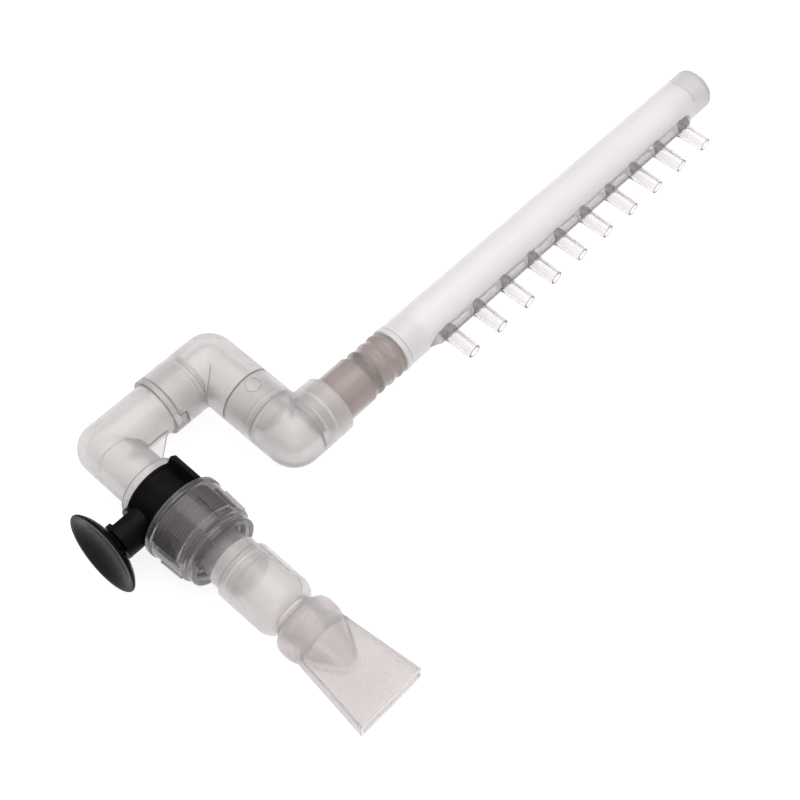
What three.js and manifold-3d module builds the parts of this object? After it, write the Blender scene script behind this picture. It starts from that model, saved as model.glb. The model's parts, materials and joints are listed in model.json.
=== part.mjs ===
// Aquarium filter outlet set: a suction-cup bracket carries a pipe elbow whose one arm ends in a
// union with a duckbill nozzle, and whose other arm runs through two more elbows to a spray bar.
//
// Frame: millimetres, +Z up. The origin is the centre of the suction cup's face, +Y points away
// from the glass, and +X runs along the outlet branch towards the duckbill mouth.
// Four straight branches lie in the plane z = 0 and meet at right angles:
//   outlet branch  along +X from corner 1      riser branch  along +Y from corner 1 to corner 2
//   cross branch   along +X from corner 2 to 3 bar branch    along +Y from corner 3
// Every piece on a branch is drawn as a profile of (radius, station), where the station is the
// distance along the branch from the corner it starts at.

import * as THREE from "three";
import { mergeVertices } from "three/addons/utils/BufferGeometryUtils.js";
import Module from "manifold-3d";

const wasm = await Module();
wasm.setup();

// ---- Driving dimensions -------------------------------------------------------------------

const ROUND = 24; // facets round a pipe
const FIT = 0.3; // running clearance, on the radius and end to end
const BORE_R = 7.6; // the water way through the elbows
const PIPE_R = 10.9; // plain pipe arms of the first elbow
const SOCKET_R = 12.5; // outside of every socket, and of the elbows made from them
const SPIGOT_R = 10.2; // the tube ends that push into the sockets
const SOCKET_BORE_R = SPIGOT_R + FIT;

const GLASS_TO_PIPE = 31; // suction face to the outlet branch
const CUP_TO_CORNER = 33; // suction cup axis to the first corner, along X
const RISER_LENGTH = 53; // corner 1 to corner 2
const CROSS_LENGTH = 47; // corner 2 to corner 3

// Suction cup and bracket
const CUP_R = 17.5;
const CUP_FLAT_R = 14.6; // inner edge of the flat sealing rim
const CUP_DISH_DEPTH = 3.2;
const CUP_NECK_R = 4;
const KNOB_R = 5.4;
const KNOB_START = 9.5;
const KNOB_END = 16.2;
const BAND_START = 27.3; // the bracket's band round the pipe, by station
const BAND_END = 40.4;
const BAND_R = 13.6;
const BEAD_R = 14.1; // the two raised edges of the band
const BEAD_WIDTH = 1.2;
const EAR_R = 17; // the raised ear where the band closes
const EAR_FROM = 124;
const EAR_TO = 137; // degrees from the glass side towards +Z
const HOOK_R = 15.2; // the lower plate that hooks under the ear
const HOOK_TO = 158;
const SOCKET_NECK_R = 7.7; // the bracket's side socket for the cup's knob
const SOCKET_FACE = 7; // its open end, measured from the glass
const LIP_THICKNESS = 2.2;
const MOUTH_TILT = 18; // degrees, the socket's open side from -X towards +Z

// First elbow
const FLANGE_START = 23.4;
const FLANGE_END = 26.9;
const FLANGE_R = 13;
const THREAD_START = 42;
const SEAT = 56; // the end face that the union seals on
const THREAD_ROOT_R = 13.6;
const THREAD_CREST_R = 14.8;
const THREAD_PITCH = 3;
const THREAD_TURNS = 4;
const COLLAR_START = 25; // the swivel collar on the riser
const SEAM = 27.5; // where the collar meets the second elbow
const SWIVEL_SPIGOT_END = 42.8;
const STOP_LENGTH = 3; // how far the rotation stop reaches past the seam
const STOP_FROM = -70;
const STOP_TO = 20; // degrees from +X towards +Z
const STOP_TRAVEL = 90;
const STOP_SLACK = 1.5; // degrees, at each end of the travel
const GUSSET_THICKNESS = 1.4;
const GUSSET_ON_RISER = 21.2;
const GUSSET_ON_OUTLET = 19.4;

// Union, tailpiece and adaptor, by station on the outlet branch
const NUT_START = 41.6;
const NUT_RIM_END = 44.2;
const NUT_SHOULDER = 60;
const NUT_END = 64.2;
const NUT_RIM_R = 17.9;
const NUT_BACK_R = 17.2;
const NUT_FRONT_R = 16.4;
const NUT_BORE_R = 15.2;
const NUT_HOLE_R = 10.2;
const NUT_COLLAR_R = 15.2; // the hollow collar round the tailpiece, in front of the shoulder
const NUT_POCKET_R = 13.7; // holds the washer and the tailpiece's flange
const NUT_WALL_START = 60.6;
const NUT_WALL = 1.4;
const GRIP_COUNT = 12;
const GRIP_WIDTH = 1;
const GRIP_HEIGHT = 0.65;
const GRIP_START = 48.5;
const GRIP_END = 59;
const WASHER_START = 56.3;
const WASHER_END = 58;
const TAIL_START = 58.3;
const TAIL_FLANGE_END = 60.3;
const TAIL_FLANGE_R = 13.3;
const TAIL_R = 9.6;
const TAIL_END = 78.3;
const ADAPTOR_START = 68.4;
const ADAPTOR_STEP_R = 10.8;
const ADAPTOR_SHOULDER = 73;
const ADAPTOR_R = 12.25;
const ADAPTOR_NECK_R = 8.7;
const ADAPTOR_NECK_BORE_R = 7.2;
const ADAPTOR_END = 110;

// Duckbill nozzle
const BILL_START = 102.3;
const BILL_COLLAR_R = 12.8;
const BELL_START = 113.8;
const BELL_START_R = 11.5;
const BELL_END = 127.5;
const BELL_END_R = 3;
const FAN_START = 111;
const MOUTH = 147.5;
const FAN_START_HALF = 11;
const MOUTH_HALF = 15.1;
const FAN_HALF_HEIGHT = 3.9;
const BILL_WALL = 1.2;

// Second and third elbow, by station on the cross and bar branches
const CROSS_SEAM = 21;
const CROSS_SPIGOT_END = 34.6;
const BAR_SOCKET_END = 20;
const BAR_SOCKET_FLOOR = 8.2;

// Spray bar, by station on the bar branch
const CONNECTOR_START = 8.5;
const CONNECTOR_SHOULDER = 35;
const RIB_VALLEY_R = 9;
const RIB_CREST_R = 9.9;
const RIB_START = 37;
const RIB_PITCH = 5.3;
const RIB_COUNT = 3;
const CONNECTOR_FACE = 53.3;
const CONNECTOR_BORE_R = 6.2;
const BAR_BORE_R = 8.2;
const BAR_SPIGOT_R = BAR_BORE_R - FIT;
const BAR_SPIGOT_END = 67;
const BAR_START = CONNECTOR_FACE + FIT;
const BAR_END = 250.3;
const BAR_R = 9.7;
const BAR_LIP_END = 56; // the raised lip at the bar's open end
const BAR_LIP_R = 9.9;
const RAIL_START = 64;
const RAIL_FULL = 71;
const RAIL_END = 237;
const RAIL_R = 3.5;
const RAIL_TOP = 11.9; // the rail's crest, from the bar's axis
const NOZZLE_COUNT = 10;
const NOZZLE_FIRST = 76.5;
const NOZZLE_PITCH = 16.9;
const NOZZLE_TIP = 23.4; // from the bar's axis
const NOZZLE_ROOT_R = 3.4;
const NOZZLE_TIP_R = 2.8;
const NOZZLE_BORE_R = 2.1;
const CAP_START = 241.3;
const CAP_END = 252;
const CAP_BORE_R = 5.4;

// Rubber rings, by the station of their middle on their own branch
const SEAL_GAP = 0.15; // each side of a ring
const GROOVE_WIDTH = 2;
const GROOVE_DEPTH = 1.5;
const SEAL_SETBACK = 2.3; // from the end of a spigot
const RISER_SEAL = SWIVEL_SPIGOT_END - SEAL_SETBACK;
const CROSS_SEAL = CROSS_SPIGOT_END - SEAL_SETBACK;
const TAIL_SEAL = TAIL_END - 3;
const TAIL_GROOVE_R = TAIL_R - 1.1;
const NECK_SEAL = 106;
const NECK_GROOVE_R = 7.9;
const CONNECTOR_SEAL = 13;
const BAR_SEAL = 63.5;
const CAP_SEAL = 244;
const SMALL_GROOVE_DEPTH = 0.9;
const SMALL_GROOVE_WIDTH = 1.6;
const SMALL_SEAL_GAP = 0.1;

// ---- Solids -------------------------------------------------------------------------------

// A closed geometry as a manifold solid facing outwards, with triangles of no area left out.
function solidOf(geometry) {
  geometry.deleteAttribute("normal");
  geometry.deleteAttribute("uv");
  const merged = mergeVertices(geometry, 1e-4);
  const corners = merged.index.array;
  const kept = [];
  for (let i = 0; i < corners.length; i += 3) {
    const [a, b, c] = [corners[i], corners[i + 1], corners[i + 2]];
    if (a !== b && b !== c && c !== a) kept.push(a, b, c);
  }
  const make = (triangles) =>
    new wasm.Manifold(
      new wasm.Mesh({
        numProp: 3,
        vertProperties: merged.attributes.position.array,
        triVerts: new Uint32Array(triangles),
      }),
    );
  const solid = make(kept);
  return solid.volume() < 0 ? make(kept.reverse()) : solid;
}

function geometryOf(solid) {
  const mesh = solid.getMesh();
  const geometry = new THREE.BufferGeometry();
  const positions = new Float32Array(mesh.vertProperties);
  geometry.setAttribute("position", new THREE.BufferAttribute(positions, 3));
  geometry.setIndex(new THREE.BufferAttribute(new Uint32Array(mesh.triVerts), 1));
  geometry.computeVertexNormals();
  return geometry;
}

const join = (...solids) => solids.reduce((all, next) => all.add(next));
const cut = (solid, ...tools) => tools.reduce((left, tool) => left.subtract(tool), solid);
const radians = THREE.MathUtils.degToRad;

// Turns a geometry drawn along +Y so that it runs along the named direction.
const DIRECTIONS = {
  "+Y": (geometry) => geometry,
  "-Y": (geometry) => geometry.rotateX(Math.PI),
  "+X": (geometry) => geometry.rotateZ(-Math.PI / 2),
  "-X": (geometry) => geometry.rotateZ(Math.PI / 2),
};

// A ring-shaped solid from a closed outline of [radius, station] points.
function turned(outline, direction = "+Y", facets = ROUND) {
  const points = [...outline, outline[0]].map(([r, y]) => new THREE.Vector2(r, y));
  return solidOf(DIRECTIONS[direction](new THREE.LatheGeometry(points, facets)));
}

// A solid bar of revolution from [radius, station] points; it closes on the axis at both ends.
function rod(outline, direction = "+Y", facets = ROUND) {
  const first = outline[0][1];
  const last = outline[outline.length - 1][1];
  const points = [[0, first], ...outline, [0, last]].map(([r, y]) => new THREE.Vector2(r, y));
  return solidOf(DIRECTIONS[direction](new THREE.LatheGeometry(points, facets)));
}

const cylinder = (radius, from, to, direction, facets) =>
  rod(
    [
      [radius, from],
      [radius, to],
    ],
    direction,
    facets,
  );

// A ball with its poles on Z, whose facets match the cylinders that meet in it.
const ball = (radius, facets = ROUND) =>
  solidOf(new THREE.SphereGeometry(radius, facets, facets / 2).rotateX(Math.PI / 2));

// Part of a ring round +Y, between two angles measured from +X towards +Z.
function sector(innerR, outerR, fromDegrees, toDegrees, start, end) {
  const shape = new THREE.Shape();
  const [a, b] = [-radians(toDegrees), -radians(fromDegrees)];
  shape.absarc(0, 0, outerR, a, b, false);
  shape.absarc(0, 0, innerR, b, a, true);
  shape.closePath();
  const options = { depth: end - start, bevelEnabled: false, curveSegments: ROUND / 3 };
  const geometry = new THREE.ExtrudeGeometry(shape, options);
  return solidOf(geometry.rotateX(-Math.PI / 2).translate(0, start, 0));
}

// A flat plate in the plane z = 0 from a list of [x, y] corners.
function plate(corners, thickness) {
  const shape = new THREE.Shape(corners.map(([x, y]) => new THREE.Vector2(x, y)));
  const geometry = new THREE.ExtrudeGeometry(shape, { depth: thickness, bevelEnabled: false });
  return solidOf(geometry.translate(0, 0, -thickness / 2));
}

// A rubber ring of round section that fills the space between two radii.
function sealRing(innerR, outerR, station) {
  const sectionR = (outerR - innerR) / 2;
  const outline = [];
  for (let i = 0; i < 6; i++) {
    const angle = (i * Math.PI) / 3;
    outline.push([
      innerR + sectionR + sectionR * Math.cos(angle),
      station + sectionR * Math.sin(angle),
    ]);
  }
  return turned(outline);
}

// The ring-shaped tool that cuts a seal's groove down to its floor radius.
function grooveTool(floorR, outerR, station, width, direction) {
  const [start, end] = [station - width / 2, station + width / 2];
  return turned(
    [
      [floorR, start],
      [outerR, start],
      [outerR, end],
      [floorR, end],
    ],
    direction,
  );
}

const groove = (spigotR, station, direction) =>
  grooveTool(spigotR - GROOVE_DEPTH, spigotR + 1, station, GROOVE_WIDTH, direction);
const grooveSeal = (spigotR, station) =>
  sealRing(spigotR - GROOVE_DEPTH + SEAL_GAP, spigotR + FIT - SEAL_GAP, station);

const SMALL_GROOVE_R = BAR_SPIGOT_R - SMALL_GROOVE_DEPTH;
const smallGroove = (station) =>
  grooveTool(SMALL_GROOVE_R, BAR_SPIGOT_R + 0.6, station, SMALL_GROOVE_WIDTH);
const smallSeal = (station) =>
  sealRing(SMALL_GROOVE_R + SMALL_SEAL_GAP, BAR_BORE_R - SMALL_SEAL_GAP, station);

// ---- Suction cup and bracket --------------------------------------------------------------

function suctionCup() {
  const back = [
    [CUP_FLAT_R, 0],
    [CUP_R, 0],
    [CUP_R, 0.8],
    [15.2, 2.6],
    [10.6, 4.6],
    [7.5, 6],
    [CUP_NECK_R, 6.6],
    [CUP_NECK_R, KNOB_START],
    [KNOB_R - 0.6, KNOB_START],
    [KNOB_R, KNOB_START + 0.8],
    [KNOB_R, KNOB_END - 2.6],
    [KNOB_R - 2.2, KNOB_END],
  ];
  const dish = [
    [0, CUP_DISH_DEPTH],
    [7, CUP_DISH_DEPTH - 0.6],
    [12, 1.1],
  ];
  const points = [...dish, ...back, [0, KNOB_END]].map(([r, y]) => new THREE.Vector2(r, y));
  return solidOf(new THREE.LatheGeometry(points, ROUND));
}

// The band lies round the outlet branch; the socket points back to the glass, local +X.
function pipeBracket() {
  const inner = PIPE_R + FIT;
  const band = turned([
    [inner, BAND_START],
    [BEAD_R, BAND_START],
    [BEAD_R, BAND_START + BEAD_WIDTH],
    [BAND_R, BAND_START + BEAD_WIDTH],
    [BAND_R, BAND_END - BEAD_WIDTH],
    [BEAD_R, BAND_END - BEAD_WIDTH],
    [BEAD_R, BAND_END],
    [inner, BAND_END],
  ]);
  const ear = sector(BAND_R - 1, EAR_R, EAR_FROM, EAR_TO, BAND_START, BAND_END);
  const hook = sector(BAND_R - 1, HOOK_R, EAR_TO - 1, HOOK_TO, BAND_START, BAND_END);
  const face = GLASS_TO_PIPE - SOCKET_FACE;
  const cavityEnd = face - LIP_THICKNESS;
  const cavityStart = GLASS_TO_PIPE - KNOB_END - 0.4;
  const place = (solid) => solid.translate([0, CUP_TO_CORNER, 0]);
  const neck = place(
    rod(
      [
        [SOCKET_NECK_R, inner - 1],
        [SOCKET_NECK_R, face - 0.6],
        [SOCKET_NECK_R - 0.6, face],
      ],
      "+X",
    ),
  );
  const pipe = cylinder(inner, BAND_START - 5, BAND_END + 5);
  const flangeRelief = cylinder(FLANGE_R + FIT, BAND_START - 5, BAND_START);
  const cavity = place(cylinder(KNOB_R + FIT, cavityStart, cavityEnd, "+X"));
  const hole = place(cylinder(CUP_NECK_R + FIT, cavityStart, face + 1, "+X"));
  // The socket is open on one side, so the knob slides in sideways and the lips hold it.
  const mouthFor = (width, start, end) => {
    const slot = new THREE.BoxGeometry(end - start, 10, width);
    slot.translate((start + end) / 2, -5, 0).rotateX(-radians(MOUTH_TILT));
    return place(solidOf(slot));
  };
  const knobMouth = mouthFor(2 * (KNOB_R + FIT), cavityStart, cavityEnd);
  const neckMouth = mouthFor(2 * (CUP_NECK_R + FIT) - 1, cavityStart, face + 1);
  const body = join(band, ear, hook, neck);
  return cut(body, pipe, flangeRelief, cavity, hole, knobMouth, neckMouth);
}

// ---- Elbows -------------------------------------------------------------------------------

// The rotation stop is a step on the collar that runs in a longer recess of the second elbow.
const stopSector = (from, to, inner, start, end) => sector(inner, SOCKET_R, from, to, start, end);

function flangedElbow() {
  const crests = [];
  for (let i = 0; i < THREAD_TURNS; i++) {
    const start = THREAD_START + 1 + i * THREAD_PITCH;
    crests.push([THREAD_ROOT_R, start]);
    crests.push([THREAD_CREST_R, start + 0.8]);
    crests.push([THREAD_ROOT_R, start + 1.6]);
  }
  const outletArm = rod(
    [
      [PIPE_R, 0],
      [PIPE_R, FLANGE_START],
      [FLANGE_R, FLANGE_START],
      [FLANGE_R, FLANGE_END],
      [PIPE_R, FLANGE_END],
      [PIPE_R, THREAD_START],
      [THREAD_ROOT_R, THREAD_START],
      ...crests,
      [THREAD_ROOT_R, SEAT],
    ],
    "+X",
  );
  const riserArm = rod([
    [PIPE_R, 0],
    [PIPE_R, COLLAR_START],
    [SOCKET_R - 0.5, COLLAR_START],
    [SOCKET_R, COLLAR_START + 0.5],
    [SOCKET_R, SEAM],
    [SPIGOT_R, SEAM],
    [SPIGOT_R, SWIVEL_SPIGOT_END - 0.5],
    [SPIGOT_R - 0.5, SWIVEL_SPIGOT_END],
  ]);
  const stop = stopSector(STOP_FROM, STOP_TO, SPIGOT_R - 0.5, SEAM - 1, SEAM + STOP_LENGTH);
  const inside = PIPE_R - 2;
  const gusset = plate(
    [
      [inside, inside],
      [GUSSET_ON_OUTLET, inside],
      [GUSSET_ON_OUTLET, PIPE_R],
      [PIPE_R, GUSSET_ON_RISER],
      [inside, GUSSET_ON_RISER],
    ],
    GUSSET_THICKNESS,
  );
  return cut(
    join(outletArm, riserArm, ball(PIPE_R), stop, gusset),
    cylinder(BORE_R, 0, SEAT + 1, "+X"),
    cylinder(BORE_R, 0, SWIVEL_SPIGOT_END + 1),
    ball(BORE_R),
    groove(SPIGOT_R, RISER_SEAL),
  );
}

// Origin at corner 2: the riser socket points to -Y and the cross spigot to +X.
function swivelElbow() {
  const rim = RISER_LENGTH - SEAM - FIT;
  const floor = RISER_LENGTH - SWIVEL_SPIGOT_END - 0.7;
  const crossArm = rod(
    [
      [SOCKET_R, 0],
      [SOCKET_R, CROSS_SEAM],
      [SPIGOT_R, CROSS_SEAM],
      [SPIGOT_R, CROSS_SPIGOT_END - 0.5],
      [SPIGOT_R - 0.5, CROSS_SPIGOT_END],
    ],
    "+X",
  );
  const recess = sector(
    SOCKET_BORE_R - 1,
    SOCKET_R + 1,
    STOP_FROM - STOP_TRAVEL - STOP_SLACK,
    STOP_TO + STOP_SLACK,
    -rim - 1,
    STOP_LENGTH + FIT - rim,
  );
  return cut(
    join(cylinder(SOCKET_R, 0, rim, "-Y"), crossArm, ball(SOCKET_R)),
    cylinder(SOCKET_BORE_R, floor, rim + 1, "-Y"),
    cylinder(BORE_R, 0, floor + 1, "-Y"),
    cylinder(BORE_R, 0, CROSS_SPIGOT_END + 1, "+X"),
    ball(BORE_R),
    recess,
    groove(SPIGOT_R, CROSS_SEAL, "+X"),
  );
}

// Origin at corner 3: the cross socket points to -X and the bar socket to +Y.
function barElbow() {
  const rim = CROSS_LENGTH - CROSS_SEAM - FIT;
  const floor = CROSS_LENGTH - CROSS_SPIGOT_END - 0.7;
  const barArm = rod([
    [SOCKET_R, 0],
    [SOCKET_R, BAR_SOCKET_END - 1],
    [SOCKET_R - 0.3, BAR_SOCKET_END - 0.3],
    [SOCKET_R - 1, BAR_SOCKET_END],
  ]);
  return cut(
    join(cylinder(SOCKET_R, 0, rim, "-X"), barArm, ball(SOCKET_R)),
    cylinder(SOCKET_BORE_R, floor, rim + 1, "-X"),
    cylinder(BORE_R, 0, floor + 1, "-X"),
    cylinder(SOCKET_BORE_R, BAR_SOCKET_FLOOR, BAR_SOCKET_END + 1),
    cylinder(BORE_R, 0, BAR_SOCKET_FLOOR + 1),
    ball(BORE_R),
  );
}

// ---- Union, tailpiece and adaptor ---------------------------------------------------------

function unionNut() {
  const shell = turned([
    [NUT_BORE_R, NUT_START],
    [NUT_RIM_R - 0.5, NUT_START],
    [NUT_RIM_R, NUT_START + 0.6],
    [NUT_RIM_R, NUT_RIM_END],
    [NUT_BACK_R, NUT_RIM_END + 0.4],
    [NUT_FRONT_R, NUT_SHOULDER - 0.3],
    [NUT_FRONT_R - 0.3, NUT_SHOULDER + 0.3],
    [NUT_COLLAR_R, NUT_SHOULDER + 0.6],
    [NUT_COLLAR_R, NUT_END - 0.7],
    [NUT_COLLAR_R - 0.7, NUT_END],
    [NUT_COLLAR_R - 1.7, NUT_END],
    [NUT_COLLAR_R - 2.2, NUT_END - 0.5],
    [NUT_COLLAR_R - 2.2, NUT_WALL_START + NUT_WALL],
    [NUT_HOLE_R, NUT_WALL_START + NUT_WALL],
    [NUT_HOLE_R, NUT_WALL_START],
    [NUT_POCKET_R, NUT_WALL_START],
    [NUT_POCKET_R, WASHER_START],
    [NUT_BORE_R, WASHER_START],
  ]);
  const grips = [];
  for (let i = 0; i < GRIP_COUNT; i++) {
    const grip = plate(
      [
        [NUT_FRONT_R - 0.8, GRIP_START],
        [NUT_BACK_R - 0.2 + GRIP_HEIGHT, GRIP_START],
        [NUT_FRONT_R + GRIP_HEIGHT, GRIP_END],
        [NUT_FRONT_R - 0.8, GRIP_END],
      ],
      GRIP_WIDTH,
    );
    grips.push(grip.rotate([0, ((i + 0.5) * 360) / GRIP_COUNT, 0]));
  }
  return join(shell, ...grips);
}

function unionWasher() {
  return turned([
    [BORE_R + 0.4, WASHER_START],
    [TAIL_FLANGE_R, WASHER_START],
    [TAIL_FLANGE_R, WASHER_END],
    [BORE_R + 0.4, WASHER_END],
  ]);
}

function tailpiece() {
  const tube = turned([
    [BORE_R, TAIL_START],
    [TAIL_FLANGE_R, TAIL_START],
    [TAIL_FLANGE_R, TAIL_FLANGE_END],
    [TAIL_R, TAIL_FLANGE_END],
    [TAIL_R, TAIL_END - 0.4],
    [TAIL_R - 0.4, TAIL_END],
    [BORE_R, TAIL_END],
  ]);
  return cut(tube, grooveTool(TAIL_GROOVE_R, TAIL_R + 1, TAIL_SEAL, GROOVE_WIDTH));
}

function adaptorBody() {
  const socketR = TAIL_R + FIT;
  const chamberR = ADAPTOR_R - 2;
  const shell = turned([
    [socketR, ADAPTOR_START],
    [ADAPTOR_STEP_R, ADAPTOR_START],
    [ADAPTOR_STEP_R, ADAPTOR_SHOULDER],
    [ADAPTOR_R - 0.5, ADAPTOR_SHOULDER + 0.3],
    [ADAPTOR_R, ADAPTOR_SHOULDER + 1.4],
    [ADAPTOR_R, 94.5],
    [ADAPTOR_R - 0.5, 96.6],
    [ADAPTOR_R - 1.7, 98.4],
    [ADAPTOR_NECK_R + 0.4, 99.6],
    [ADAPTOR_NECK_R, 100],
    [ADAPTOR_NECK_R, 101],
    [ADAPTOR_NECK_R - 0.5, 101],
    [ADAPTOR_NECK_R - 0.5, 101.6],
    [ADAPTOR_NECK_R, 101.6],
    [ADAPTOR_NECK_R, ADAPTOR_END],
    [ADAPTOR_NECK_BORE_R, ADAPTOR_END],
    [ADAPTOR_NECK_BORE_R, 97.5],
    [chamberR, 93.5],
    [chamberR, TAIL_END + 1.6],
    [socketR, TAIL_END + 1.2],
  ]);
  return cut(shell, grooveTool(NECK_GROOVE_R, ADAPTOR_NECK_R + 1, NECK_SEAL, GROOVE_WIDTH));
}

// ---- Duckbill -----------------------------------------------------------------------------

// The flat fan of the nozzle between two stations, as wide as the walls leave.
function fan(wall, start, end) {
  const halfAt = (station) => {
    const share = (station - FAN_START) / (MOUTH - FAN_START);
    return THREE.MathUtils.lerp(FAN_START_HALF, MOUTH_HALF, share) - wall;
  };
  return plate(
    [
      [-halfAt(start), start],
      [halfAt(start), start],
      [halfAt(end), end],
      [-halfAt(end), end],
    ],
    2 * (FAN_HALF_HEIGHT - wall),
  );
}

function duckbill() {
  const outer = rod([
    [9.6, BILL_START],
    [11, BILL_START + 0.5],
    [12.2, BILL_START + 1.7],
    [BILL_COLLAR_R, BILL_START + 4],
    [BILL_COLLAR_R, BILL_START + 7.2],
    [12.3, BILL_START + 9.3],
    [BELL_START_R, BELL_START],
    [BELL_END_R, BELL_END],
  ]);
  const socketFloor = ADAPTOR_END + FIT;
  const socket = cylinder(ADAPTOR_NECK_R + FIT, BILL_START - 1, socketFloor);
  const throat = rod([
    [ADAPTOR_NECK_R - 0.4, socketFloor - 1],
    [ADAPTOR_NECK_R - 0.4, BELL_START + 1.5],
    [BELL_END_R - BILL_WALL, BELL_END - 1],
  ]);
  return cut(
    join(outer, fan(0, FAN_START, MOUTH)),
    socket,
    throat,
    fan(BILL_WALL, socketFloor + 2.5, MOUTH + 1),
  );
}

// ---- Bar branch ---------------------------------------------------------------------------

function barConnector() {
  const ribs = [];
  for (let i = 0; i < RIB_COUNT; i++) {
    const start = RIB_START + i * RIB_PITCH;
    ribs.push([RIB_VALLEY_R, start + 0.6]);
    ribs.push([RIB_CREST_R, start + 2]);
    ribs.push([RIB_CREST_R, start + 3.2]);
    ribs.push([RIB_VALLEY_R, start + 4.6]);
  }
  const tube = turned([
    [CONNECTOR_BORE_R, CONNECTOR_START],
    [SPIGOT_R - 0.4, CONNECTOR_START],
    [SPIGOT_R, CONNECTOR_START + 0.4],
    [SPIGOT_R, CONNECTOR_SHOULDER],
    [SPIGOT_R - 0.6, CONNECTOR_SHOULDER + 0.6],
    [RIB_VALLEY_R, RIB_START],
    ...ribs,
    [RIB_VALLEY_R, CONNECTOR_FACE],
    [BAR_SPIGOT_R, CONNECTOR_FACE],
    [BAR_SPIGOT_R, BAR_SPIGOT_END - 0.5],
    [BAR_SPIGOT_R - 0.5, BAR_SPIGOT_END],
    [CONNECTOR_BORE_R, BAR_SPIGOT_END],
  ]);
  return cut(tube, groove(SPIGOT_R, CONNECTOR_SEAL), smallGroove(BAR_SEAL));
}

// The nozzles stand on a half-round rail along the bar's +X side.
function sprayBar() {
  const railAxis = RAIL_TOP - RAIL_R;
  const onRail = (solid) => solid.translate([railAxis, 0, 0]);
  const rail = onRail(cylinder(RAIL_R, RAIL_START, RAIL_END - RAIL_R, "+Y", 20));
  const railEnd = onRail(ball(RAIL_R, 20)).translate([0, RAIL_END - RAIL_R, 0]);
  const proud = RAIL_TOP - BAR_R;
  const ramp = plate(
    [
      [BAR_R - 0.2, RAIL_START - 1],
      [BAR_R, RAIL_START],
      [RAIL_TOP, RAIL_FULL],
      [RAIL_TOP + proud, RAIL_FULL],
      [RAIL_TOP + proud, RAIL_START - 1],
    ],
    3 * RAIL_R,
  );
  const nozzles = [];
  const bores = [];
  for (let i = 0; i < NOZZLE_COUNT; i++) {
    const station = NOZZLE_FIRST + i * NOZZLE_PITCH;
    const nozzle = rod(
      [
        [NOZZLE_ROOT_R, BAR_BORE_R],
        [NOZZLE_ROOT_R, RAIL_TOP],
        [NOZZLE_TIP_R, NOZZLE_TIP],
      ],
      "+X",
      20,
    );
    nozzles.push(nozzle.translate([0, station, 0]));
    const bore = cylinder(NOZZLE_BORE_R, 0, NOZZLE_TIP + 1, "+X", 16);
    bores.push(bore.translate([0, station, 0]));
  }
  const tube = rod([
    [BAR_LIP_R, BAR_START],
    [BAR_LIP_R, BAR_LIP_END - 0.3],
    [BAR_R, BAR_LIP_END],
    [BAR_R, BAR_END],
  ]);
  const body = join(tube, cut(join(rail, railEnd), ramp), ...nozzles);
  return cut(body, cylinder(BAR_BORE_R, BAR_START - 1, BAR_END + 1), ...bores);
}

function endCap() {
  const plug = rod([
    [BAR_SPIGOT_R - 0.5, CAP_START],
    [BAR_SPIGOT_R, CAP_START + 0.5],
    [BAR_SPIGOT_R, BAR_END + FIT],
    [BAR_R, BAR_END + FIT],
    [BAR_R, CAP_END - 0.7],
    [BAR_R - 0.3, CAP_END - 0.2],
    [BAR_R - 0.8, CAP_END],
  ]);
  return cut(plug, cylinder(CAP_BORE_R, CAP_START - 1, BAR_END - 1), smallGroove(CAP_SEAL));
}

// ---- Assembly -----------------------------------------------------------------------------

const FINISHES = {
  frosted: { color: 0xd8d2cf, roughness: 0.42 },
  bar_white: { color: 0xefebec, roughness: 0.38 },
  smoke: { color: 0x8b868c, roughness: 0.12 },
  black: { color: 0x121214, roughness: 0.35 },
  rubber: { color: 0x1b1b1e, roughness: 0.45 },
  seal: { color: 0x2a2a2c, roughness: 0.6 },
};

function piece(name, solid, finish) {
  const material = new THREE.MeshStandardMaterial({ ...FINISHES[finish], metalness: 0 });
  const mesh = new THREE.Mesh(geometryOf(solid), material);
  mesh.name = name;
  return mesh;
}

function branch(x, y, turnedToX, ...pieces) {
  const group = new THREE.Group();
  group.position.set(x, y, 0);
  if (turnedToX) group.rotation.z = -Math.PI / 2;
  group.add(...pieces);
  return group;
}

const CORNER_1 = [-CUP_TO_CORNER, GLASS_TO_PIPE];
const CORNER_2 = [CORNER_1[0], CORNER_1[1] + RISER_LENGTH];
const CORNER_3 = [CORNER_2[0] + CROSS_LENGTH, CORNER_2[1]];

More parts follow.
